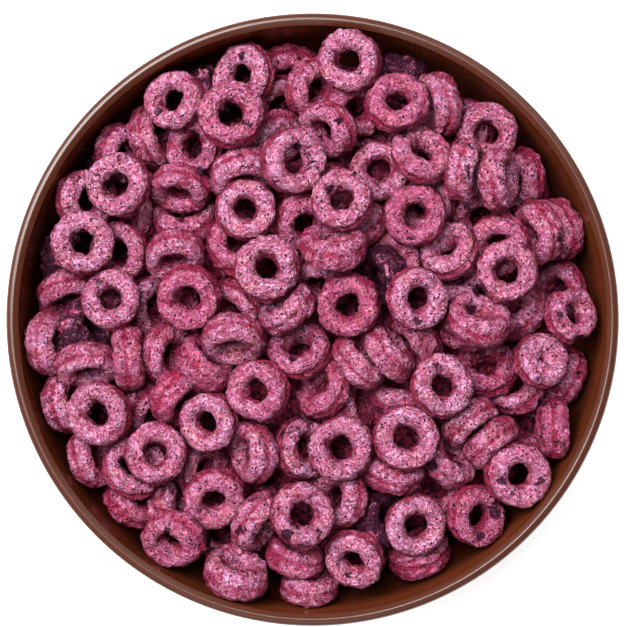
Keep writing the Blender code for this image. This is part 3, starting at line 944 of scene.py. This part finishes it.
@dataclass(frozen=True)
class CerealFinish:
    """Dry puffed cereal: pale tone with painted light on crests, over crimson and painted shade, plum
    bruises, dark specks and painted glints.

    A noise holds its patches' size, its detail, roughness and distortion. Dots hold their spacing,
    radius, soft edge and share. A light, rise or fade turns its first two values into its last two.
    """

    pale: Colour = (0.60, 0.278, 0.450)
    salmon: Colour = (0.65, 0.275, 0.350)
    body: Colour = (0.38, 0.038, 0.115)
    # Dark crimson for the rings' sides, and for painted shade in grooves, on steep faces and deep in the
    # heap.
    crimson_and_shade: Colour = (0.26, 0.008, 0.045)
    plum: Colour = (0.038, 0.0035, 0.018)
    pit: Colour = (0.012, 0.0015, 0.004)
    painted_glint: Colour = (0.95, 0.80, 0.92)
    roughness: float = 0.42
    specular: float = 0.22
    grain_noise: tuple[float, ...] = (1.15 * MM, 1.4, 0.5, 0.8)
    wrinkle_noise: tuple[float, ...] = (1.8 * MM, 2.0, 0.5, 1.6)
    fine_noise: tuple[float, ...] = (0.55 * MM, 2.0, 0.6, 0.8)
    warmth_noise: tuple[float, ...] = (5.0 * MM, 2.0)
    patch_noise: tuple[float, ...] = (3.6 * MM, 3.0, 0.6)
    cloud_noise: tuple[float, ...] = (2.6 * MM, 4.0, 0.65, 0.8)
    pit_dots: tuple[float, ...] = (1.05 * MM, 0.25 * MM, 0.04 * MM, 0.58)
    blot_noise: tuple[float, ...] = (0.62 * MM, 3.0, 0.65, 1.8)
    crack_noise: tuple[float, ...] = (1.3 * MM, 1.5, 0.5, 0.6)
    grain_tone_and_crest_light: tuple[float, ...] = (0.36, 0.64, 0.12, 0.80)
    fine_light: tuple[float, ...] = (0.36, 0.64, 0.0, 0.20)
    wrinkle_shade: tuple[float, ...] = (0.0, 0.05, 0.4, 1.0)
    pale_light: tuple[float, ...] = (0.0, 1.0, 0.45, 1.15)
    warmth_rise: tuple[float, ...] = (0.48, 0.66, 0.0, 0.8)
    painted_glint_rise: tuple[float, ...] = (0.64, 0.74, 0.0, 0.45)
    patch_rise: tuple[float, ...] = (0.40, 0.75, 0.0, 0.30)
    crimson_and_shade_rise: tuple[float, ...] = (0.0, 1.05, 0.0, 0.9)
    bruise_rise: tuple[float, ...] = (1.04, 1.20, 0.0, 0.96)
    blot_rise: tuple[float, ...] = (0.77, 0.80, 0.0, 1.0)
    crack_fade: tuple[float, ...] = (0.006, 0.022, 0.85, 0.0)
    crack_rise: tuple[float, ...] = (0.53, 0.59, 0.0, 1.0)
    crinkle_rise: tuple[float, ...] = (0.0, 0.07, 0.0, 1.0)
    bruise_clouds: float = 1.6
    blot_clouds: float = 0.35
    grain_depth: float = 1.0
    crinkle_depth: float = 0.32
    pit_depth: float = 0.25
    relief_depth: float = 1 * MM

    def material(self) -> bpy.types.Material:
        """Builds the cereal's material.

        It reads the mesh's "finish" colour: red is how plum or scorched a point is, with painted shade added
        inside the hole and deep in the heap, green how pale its ring is, and blue how much crimson and
        painted shade it takes: on a side, in the groove, on faces that turn from up and deep in the heap.

        Returns:
            The material.
        """
        sheet = NodeSheet("puffed_cereal")
        parts = sheet.add("ShaderNodeSeparateColor")
        sheet.link(sheet.attribute("finish", "Color"), parts.inputs["Color"])
        plum, pale, crimson_and_shade = (parts.outputs[name] for name in ("Red", "Green", "Blue"))
        grain = sheet.noise(*self.grain_noise)
        wrinkle = sheet.away(*self.wrinkle_noise)
        fine = sheet.noise(*self.fine_noise)
        # Pale tone, with painted light on the relief's crests and painted shade in its wrinkles, less on
        # darker rings, with warm stretches and painted glints.
        light = sheet.ramp(grain, *self.grain_tone_and_crest_light)
        light = sheet.math("ADD", light, sheet.ramp(fine, *self.fine_light))
        light = sheet.math("MULTIPLY", light, sheet.ramp(wrinkle, *self.wrinkle_shade))
        light = sheet.math("MULTIPLY", light, sheet.ramp(pale, *self.pale_light))
        warmth = sheet.ramp(sheet.noise(*self.warmth_noise), *self.warmth_rise)
        colour = sheet.mix(light, self.body, sheet.mix(warmth, self.pale, self.salmon))
        colour = sheet.mix(sheet.ramp(fine, *self.painted_glint_rise), colour, self.painted_glint)
        # Painted glints: near-white specks that stand in for highlights on the crinkles.
        # Crimson on the sides, painted shade in grooves, on faces that turn from up and deep in the heap,
        # and plum bruises.
        patches = sheet.ramp(sheet.noise(*self.patch_noise), *self.patch_rise)
        side = sheet.ramp(sheet.math("ADD", crimson_and_shade, patches), *self.crimson_and_shade_rise)
        colour = sheet.mix(side, colour, self.crimson_and_shade)
        clouds = sheet.noise(*self.cloud_noise)
        bruise = sheet.math("ADD", sheet.math("MULTIPLY", clouds, self.bruise_clouds), plum)
        colour = sheet.mix(sheet.ramp(bruise, *self.bruise_rise), colour, self.plum)
        # Dark pits, ragged blots and short cracks.
        pits = sheet.dots(*self.pit_dots)
        blots = sheet.noise(*self.blot_noise)
        blots = sheet.math("ADD", blots, sheet.math("MULTIPLY", clouds, self.blot_clouds))
        blots = sheet.ramp(blots, *self.blot_rise)
        cracks = sheet.ramp(sheet.away(*self.crack_noise), *self.crack_fade)
        cracks = sheet.math("MULTIPLY", cracks, sheet.ramp(clouds, *self.crack_rise))
        dark = sheet.math("MAXIMUM", sheet.math("MAXIMUM", pits, blots), cracks)
        sheet.link(sheet.mix(dark, colour, self.pit), sheet.shader.inputs["Base Color"])
        sheet.fix({"Roughness": self.roughness, "Specular IOR Level": self.specular})
        height = sheet.math("MULTIPLY", sheet.ramp(wrinkle, *self.crinkle_rise), self.crinkle_depth)
        height = sheet.math("ADD", sheet.math("MULTIPLY", grain, self.grain_depth), height)
        height = sheet.math("SUBTRACT", height, sheet.math("MULTIPLY", pits, self.pit_depth))
        sheet.bump(height, self.relief_depth)
        return sheet.material


@dataclass(frozen=True)
class KindLook:
    """How plum, pale and lumpy one kind of ring is, how open its hole, and its steps round and across."""

    plum: float
    pale: float
    lumps: float
    hole: float = 1.0
    steps: tuple[int, int] = (76, 32)


KIND_LOOKS = {
    RingKind.ROSE: KindLook(0.02, 0.62, 1.0),
    RingKind.BLUSH: KindLook(0.00, 0.78, 0.9),
    RingKind.MAUVE: KindLook(0.10, 0.85, 1.1),
    RingKind.CRIMSON: KindLook(0.03, 0.32, 1.2),
    RingKind.PLUM: KindLook(0.46, 0.55, 1.8),
    RingKind.BLIND: KindLook(0.02, 0.70, 1.0, 0.0),
    # The layer below is more plum and less pale: partly its own darker colour and partly painted shade for
    # lying low in the heap.
    RingKind.LOWER: KindLook(0.16, 0.30, 1.2, steps=(40, 18)),
}


@dataclass(frozen=True)
class CerealRings:
    """The rings themselves: closed tubes with a grooved, lumpy and uneven section."""

    form: RingForm = RingForm()
    squareness: float = 2.15
    squarer_outside: float = 0.15
    lobe_shift: float = 0.26 * MM
    lobe_blend: float = 0.45 * MM
    lobe_spread: tuple[float, float] = (0.3, 1.3)
    crowding: float = 0.35
    groove: float = 0.46 * MM
    groove_least: float = 0.5
    groove_spread: float = 0.8
    groove_waves: float = 0.6
    groove_width: float = 0.52 * MM
    groove_rise: float = 0.6 * MM
    groove_shift: float = 0.8 * MM
    groove_wander: float = 0.5
    out_of_round: float = 0.035
    uneven_width: float = 0.08
    uneven_height: float = 0.08
    warp: float = 0.30 * MM
    lump_sizes: tuple[float, ...] = (4.6 * MM, 2.2 * MM, 1.4 * MM)
    lump_heights: tuple[float, ...] = (0.10 * MM, 0.09 * MM, 0.06 * MM)
    waves: int = 14
    hole_fill: float = 0.97
    depth_range: tuple[float, float] = (-2 * MM, 12 * MM)
    side_fade: tuple[float, float] = (1.1, 1.15)
    side_flank: float = 0.25
    groove_shade: float = 0.70
    steep_shade: float = 0.95
    steep_power: float = 1.25
    shade_by_depth: float = 0.04
    lump_top_light: float = 0.15
    plum_spread: tuple[float, float] = (-0.04, 0.06)
    hole_plum_shade: float = 0.03
    plum_shade_by_depth: float = 0.014
    pale_spread: float = 0.22
    scorch: float = 0.46
    scorch_dent: float = 0.40 * MM

    def waves_round(self, draws: np.random.RandomState, count: int, turn: np.ndarray) -> np.ndarray:
        """Smooth random change round each ring: sines of two to five turns, about 1 at most.

        Args:
            draws: Where the random numbers come from.
            count: How many rings there are.
            turn: The angles round a ring.

        Returns:
            An array of rings by angles by one.
        """
        orders = np.arange(2, 6)[None, :, None]
        phases = draws.uniform(0, math.tau, (count, 4, 1))
        heights = draws.uniform(0.2, 1.0, (count, 4, 1)) / orders
        return (heights * np.sin(orders * turn[None, None] + phases)).sum(axis=1)[..., None]

    def lumps(self, draws: np.random.RandomState, places: np.ndarray) -> np.ndarray:
        """Random relief: for each size, the mean of sines along random ways with random phases.

        Args:
            draws: Where the random numbers come from.
            places: Points on each ring in its own frame, rings by points by coordinates.

        Returns:
            The relief's height at each point, in metres.
        """
        relief = np.zeros(places.shape[:2])
        for size, height in zip(self.lump_sizes, self.lump_heights):
            ways = draws.normal(size=(3, self.waves))
            ways *= math.tau / size / np.linalg.norm(ways, axis=0)
            phases = draws.uniform(0, math.tau, (len(places), 1, self.waves))
            relief += height * np.sin(places @ ways + phases).sum(axis=2) / math.sqrt(self.waves / 2)
        return relief

    def shape(
        self, draws: np.random.RandomState, count: int, turn: np.ndarray, bend: np.ndarray, look: KindLook
    ) -> tuple[np.ndarray, np.ndarray, np.ndarray]:
        """The rings' surfaces, each in its own frame and at the usual size.

        The section is a rounded square: half width and half height times the cosine and sine of an
        angle, each to the power of two over the squareness, with a groove pressed into its outer
        side. Its middle follows a slightly uneven, bent circle, and lumps move it in and out.

        Args:
            draws: Where the random numbers come from.
            count: How many rings there are.
            turn: The angles round a ring.
            bend: The angles round its section.
            look: How the kind looks.

        Returns:
            Points as rings by steps round by steps across by coordinates, and how far each lies in
            the groove and how high on a lump.
        """
        form = self.form
        cosine, sine = np.cos(bend), np.sin(bend)
        power = 2 / (self.squareness + self.squarer_outside * cosine)
        radius = form.radius * (1 + self.out_of_round * self.waves_round(draws, count, turn))
        width = form.half_width * (1 + self.uneven_width * self.waves_round(draws, count, turn))
        height = form.half_height * (1 + self.uneven_height * self.waves_round(draws, count, turn))
        outward = width * np.sign(cosine) * np.abs(cosine) ** power
        upward = height * np.sign(sine) * np.abs(sine) ** power
        wander = draws.uniform(-1, 1, (count, 1, 1))
        wander = wander + self.groove_wander * self.waves_round(draws, count, turn)
        crease = self.groove_rise + self.groove_shift * wander
        groove = np.exp(-(((upward - crease) / self.groove_width) ** 2)) * np.clip(cosine, 0, 1) ** 0.5
        depth = self.groove_least + self.groove_spread * draws.uniform(0, 1, (count, 1, 1))
        depth = depth * (1 + self.groove_waves * self.waves_round(draws, count, turn))
        outward = outward - self.groove * depth * groove
        closed = (1 - look.hole) * np.clip(-cosine, 0, 1)
        outward = outward - closed * (form.radius - form.half_width) * self.hole_fill
        rise = self.warp * self.waves_round(draws, count, turn)
        reach = radius + outward
        turn_cosine, turn_sine = np.cos(turn)[:, None], np.sin(turn)[:, None]
        local = np.stack([reach * turn_cosine, reach * turn_sine, upward + rise], axis=-1)
        aside = draws.uniform(0, math.tau, (count, 1, 1))
        lobe = self.lobe_shift * draws.uniform(*self.lobe_spread, (count, 1, 1))
        lobe = lobe * np.tanh((upward - crease) / self.lobe_blend)
        local[..., 0] += lobe * np.cos(aside)
        local[..., 1] += lobe * np.sin(aside)
        relief = self.lumps(draws, local.reshape(count, -1, 3)).reshape(reach.shape) * look.lumps
        local[..., 0] += relief * cosine * turn_cosine
        local[..., 1] += relief * cosine * turn_sine
        local[..., 2] += relief * sine
        return local, groove, relief

    def surfaces(
        self, layout: HeapLayout, settled: SettledRings, chosen: np.ndarray, look: KindLook, seed: int
    ) -> tuple[np.ndarray, np.ndarray]:
        """The rings' surfaces in the heap, and the finish at each point.

        Scorched places are dented along the section's own normal. The finish's blue, crimson and painted
        shade, rises at the middle of both sides, in the groove as painted crease shade, with the power of
        one less the normal's rise as painted shade on faces that turn from up, and with the depth below the
        dome as painted shade; lump tops lose some of it as painted light. The red gains painted shade inside
        the hole and with depth.

        Args:
            layout: The heap's layout, whose dome says how deep a point lies.
            settled: Where the rings lie.
            chosen: Which rings to make.
            look: How the kind looks.
            seed: Starts the random numbers.

        Returns:
            Points as rings by steps round by steps across by coordinates, and the finish alike.
        """
        draws = np.random.RandomState(seed)
        middles, normals, sizes = settled.middles[chosen], settled.normals[chosen], settled.sizes[chosen]
        turn, bend = (np.arange(steps) * math.tau / steps for steps in look.steps)
        bend = bend - self.crowding * np.sin(bend)
        cosine, sine = np.cos(bend), np.sin(bend)
        local, groove, relief = self.shape(draws, len(middles), turn, bend, look)
        across, along = frames_of(normals)
        axes = np.stack([across, along, normals], axis=1)
        local = local * sizes[:, None, None, None]
        points = middles[:, None, None] + np.einsum("nuvk,nkj->nuvj", local, axes)
        outward = across[:, None] * np.cos(turn)[:, None] + along[:, None] * np.sin(turn)[:, None]
        outward = outward[:, :, None] * cosine[..., None] + normals[:, None, None] * sine[..., None]
        dome = layout.dome_level(np.hypot(points[..., 0], points[..., 1]))
        depth = np.clip(dome - points[..., 2], *self.depth_range) / MM
        scorched = layout.scorching(points)
        # Crimson on the sides, and painted shade: in the groove, on faces that turn from up, deeper below
        # the dome, and less on lump tops as painted light.
        fade_start, fade_slope = self.side_fade
        crimson_and_shade = self.side_flank * np.clip(fade_start - np.abs(sine) * fade_slope, 0, 1)
        crimson_and_shade = crimson_and_shade + self.groove_shade * groove
        crimson_and_shade = crimson_and_shade + self.steep_shade * (1 - np.clip(outward[..., 2], 0, 1)) ** self.steep_power
        crimson_and_shade = crimson_and_shade + self.shade_by_depth * depth
        finish = np.ones((*relief.shape, 4))
        finish[..., 0] = look.plum + draws.uniform(*self.plum_spread, (len(middles), 1, 1))
        # Painted shade in plum: darker inside the hole and deeper below the dome; the scorching is the
        # rings' own.
        finish[..., 0] += self.hole_plum_shade * np.clip(-cosine, 0, 1) ** 2
        finish[..., 0] += self.scorch * scorched
        finish[..., 0] += self.plum_shade_by_depth * depth
        pale = draws.uniform(-self.pale_spread, self.pale_spread, (len(middles), 1, 1))
        finish[..., 1] = look.pale + pale
        finish[..., 2] = np.clip(crimson_and_shade - self.lump_top_light * relief / self.lump_heights[0], 0, 1)
        return points - self.scorch_dent * scorched[..., None] * outward, np.clip(finish, 0, 1)


@dataclass
class CerealHeap:
    """The heap: the rings, one piece for each kind, over a core of packed cereal."""

    layout: HeapLayout = HeapLayout()
    rings: CerealRings = CerealRings()
    finish: CerealFinish = CerealFinish()
    core_drop: float = 12.5 * MM
    core_lumps: float = 1.4 * MM
    core_waves: tuple[float, ...] = (2.1 * MM, 3.7 * MM, 2.4 * MM, 4.1 * MM)
    core_bend: float = 1.3
    core_turn_steps: int = 160
    core_rows: int = 60
    core_side_rows: int = 24
    core_start: float = 0.42
    # The core's finish: dark plum with full crimson, painted shade for the shadowed rings it stands for.
    core_shade_finish: tuple[float, float, float, float] = (0.32, 0.1, 0.9, 1.0)
    kind_seed: int = 5

    def kinds_of(self, count: int) -> list[RingKind]:
        """The kind of each ring that shows: by its place where it stands out, else dealt out evenly.

        Args:
            count: How many rings show.

        Returns:
            A kind for each ring.
        """
        common = [RingKind.ROSE, RingKind.MAUVE, RingKind.CRIMSON, RingKind.BLUSH]
        order = np.random.RandomState(self.kind_seed).permutation(count)
        kinds = [common[number % len(common)] for number in order]
        for number, row in enumerate(SEEN_RINGS):
            if row[:2] in PLUM_PLACES_PX:
                kinds[number] = RingKind.PLUM
            elif row[:2] in BLIND_PLACES_PX:
                kinds[number] = RingKind.BLIND
        return kinds

    def build_core(self, material: bpy.types.Material) -> None:
        """The core: a lumpy dome well under the rings, closed by the bowl's hollow, in dark plum and crimson
        as painted shade.

        The dome's height is the rings' level less a drop, plus products of sines in x and y.

        Args:
            material: The cereal's material.
        """
        bowl = self.layout.bowl
        inset = self.layout.clearance
        turn = np.arange(self.core_turn_steps) * math.tau / self.core_turn_steps
        bend = np.linspace(self.core_start, math.pi / 2, self.core_side_rows)
        power = 2 / bowl.hollow_fullness
        wall_radius = (bowl.hollow_radius - inset) * np.cos(bend) ** power
        wall_level = bowl.lip_level - (bowl.hollow_depth - inset) * np.sin(bend) ** power
        share = np.linspace(0, 1, self.core_rows + 1)[1:-1, None]
        x, y = share * wall_radius[0] * np.cos(turn), share * wall_radius[0] * np.sin(turn)
        along_x, bent_by_y, along_y, bent_by_x = self.core_waves
        lumps = np.sin(x / along_x + self.core_bend * np.sin(y / bent_by_y))
        lumps = lumps * np.sin(y / along_y + np.sin(x / bent_by_x))
        level = self.layout.dome_level(np.hypot(x, y)) - self.core_drop + self.core_lumps * lumps
        top = np.stack([x, y, np.maximum(level, wall_level[0] + 0 * x)], axis=-1)
        rim = wall_radius[:-1, None]
        side = np.stack([rim * np.cos(turn), rim * np.sin(turn), wall_level[:-1, None] + 0 * turn], axis=-1)
        sheet = np.concatenate([top, side])
        mesh = turned_mesh("cereal_core", sheet, top[0, :, 2].mean(), wall_level[-1])
        store_finish(mesh, np.tile(self.core_shade_finish, (len(mesh.vertices), 1)))
        place("cereal_core", mesh, material, "cereal_heap")

    def build(self) -> None:
        """Settles the rings and makes a piece of each kind, and the core."""
        material = self.finish.material()
        self.build_core(material)
        settled = self.layout.settle()
        for number, row in enumerate(SEEN_RINGS):
            if row[:2] in SMALL_PLACES_PX:
                settled.sizes[number] = SMALL_SIZE
        kinds = np.array([kind.value for kind in self.kinds_of(settled.seen)])
        kinds = np.append(kinds, [RingKind.LOWER.value] * (len(settled.middles) - settled.seen))
        for number, kind in enumerate(RingKind):
            chosen = kinds == kind.value
            if not chosen.any():
                continue
            look = KIND_LOOKS[kind]
            points, finish = self.rings.surfaces(self.layout, settled, chosen, look, number + 1)
            mesh = grid_mesh(f"rings_{kind.value}", points)
            store_finish(mesh, finish)
            place(f"rings_{kind.value}", mesh, material, "cereal_heap")


@dataclass(frozen=True)
class SoftBox:
    """A square soft light: its bearing and height as angles, its distance, side and power."""

    name: str
    bearing: float
    elevation: float
    distance: float
    side: float
    power: float

    def build(self, target: tuple[float, float, float]) -> None:
        """Hangs the light and turns it to a target.

        Args:
            target: What it lights.
        """
        lamp = bpy.data.lights.new(self.name, "AREA")
        lamp.shape = "SQUARE"
        lamp.size = self.side
        lamp.energy = self.power
        made = bpy.data.objects.new(self.name, lamp)
        bearing, elevation = math.radians(self.bearing), math.radians(self.elevation)
        level, rise = math.cos(elevation), math.sin(elevation)
        way = np.array([level * math.cos(bearing), level * math.sin(bearing), rise])
        made.location = np.array(target) + self.distance * way
        made.rotation_euler = (math.pi / 2 - elevation, 0, bearing + math.pi / 2)
        bpy.context.scene.collection.objects.link(made)


@dataclass
class Studio:
    """The plain pale floor, the soft light and the camera of the photograph."""

    bowl: BowlForm = BowlForm()
    photograph: Photograph = Photograph()
    floor_side: float = 3.0
    floor_tone: Colour = (0.92, 0.92, 0.92)
    floor_grain: float = 50 * MM
    floor_shade: float = 0.99
    floor_roughness: float = 0.9
    floor_glow: float = 0.66
    sky_rise: tuple[float, float] = (0.0, 1.0)
    sky_range: tuple[float, float] = (0.05, 0.17)
    sensor: float = 36.0
    lights: tuple[SoftBox, ...] = (
        SoftBox("key_light", 132, 66, 1.0, 0.60, 19.7),
        SoftBox("side_light", 155, 50, 1.5, 0.75, 10.0),
        SoftBox("fill_light", 50, 38, 1.5, 0.90, 3.5),
        SoftBox("low_light", 265, 40, 1.5, 0.90, 3.5),
    )

    def build_floor(self) -> None:
        """A wide square floor at the foot's level."""
        half = self.floor_side / 2
        mesh = bpy.data.meshes.new("floor")
        corners = [(-half, -half, 0), (half, -half, 0), (half, half, 0), (-half, half, 0)]
        mesh.from_pydata(corners, [], [(0, 1, 2, 3)])
        sheet = NodeSheet("floor_paper")
        grain = sheet.ramp(sheet.noise(self.floor_grain), 0.3, 0.7)
        shade = tuple(self.floor_shade * part for part in self.floor_tone)
        sheet.link(sheet.mix(grain, self.floor_tone, shade), sheet.shader.inputs["Base Color"])
        sheet.shader.inputs["Emission Color"].default_value = (1, 1, 1, 1)
        sheet.fix({"Roughness": self.floor_roughness, "Emission Strength": self.floor_glow})
        mesh.materials.append(sheet.material)
        floor = bpy.data.objects.new("floor", mesh)
        bpy.context.scene.collection.objects.link(floor)

    def build_light(self) -> None:
        """A pale sky that is brighter overhead, and the soft boxes."""
        world = bpy.data.worlds.new("studio")
        world.use_nodes = True
        nodes, links = world.node_tree.nodes, world.node_tree.links
        way = nodes.new("ShaderNodeTexCoord")
        parts = nodes.new("ShaderNodeSeparateXYZ")
        ramp = nodes.new("ShaderNodeMapRange")
        names = ("From Min", "From Max", "To Min", "To Max")
        for name, value in zip(names, (*self.sky_rise, *self.sky_range)):
            ramp.inputs[name].default_value = value
        links.new(way.outputs["Generated"], parts.inputs["Vector"])
        links.new(parts.outputs["Z"], ramp.inputs["Value"])
        links.new(ramp.outputs["Result"], nodes["Background"].inputs["Strength"])
        nodes["Background"].inputs["Color"].default_value = (1, 1, 1, 1)
        bpy.context.scene.world = world
        for light in self.lights:
            light.build((0, 0, self.bowl.height))

    def build_camera(self) -> None:
        """A camera straight over the bowl, framed as the photograph is."""
        shot, scene = self.photograph, bpy.context.scene
        pixel = self.bowl.radius / shot.radius_px
        camera = bpy.data.cameras.new("camera")
        camera.sensor_width = self.sensor
        camera.lens = self.sensor * shot.distance / (shot.width_px * pixel)
        made = bpy.data.objects.new("camera", camera)
        half = shot.width_px / 2
        shift_x, shift_y = (half - shot.middle_x_px) * pixel, (shot.middle_y_px - half) * pixel
        made.location = (shift_x, shift_y, self.bowl.lip_level + shot.distance)
        scene.collection.objects.link(made)
        scene.camera = made
        scene.view_settings.view_transform = "Standard"

    def build(self) -> None:
        """Builds the floor, the light and the camera."""
        self.build_floor()
        self.build_light()
        self.build_camera()


def main() -> None:
    logging.basicConfig(level=logging.INFO)
    Bowl().build()
    CerealHeap().build()
    Studio().build()


if __name__ == "__main__":
    main()
